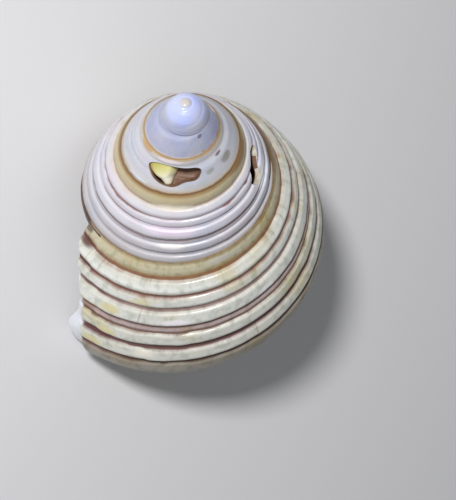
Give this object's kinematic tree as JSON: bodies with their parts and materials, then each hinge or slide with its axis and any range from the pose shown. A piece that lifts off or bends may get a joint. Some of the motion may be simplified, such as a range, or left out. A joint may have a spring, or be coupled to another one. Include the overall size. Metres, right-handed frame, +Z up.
{
  "type": "top shell",
  "caption": "Conical ridged top shell lying on its mouth, hollow along its spiral, with worn holes through the wall near the pale apex.",
  "frame": {"origin": "centre of the bounding box, on the surface the shell lies on", "axes": "+Z up from the surface, +X along the longest extent with the apex at low X, -Y the side the picture is taken from"},
  "size_m": [0.0218, 0.0188, 0.0168],
  "materials": {
    "shell": "worn, satin with pearly patches"
  },
  "bodies": {
    "root": {"shell": "shell"}
  },
  "joints": []
}
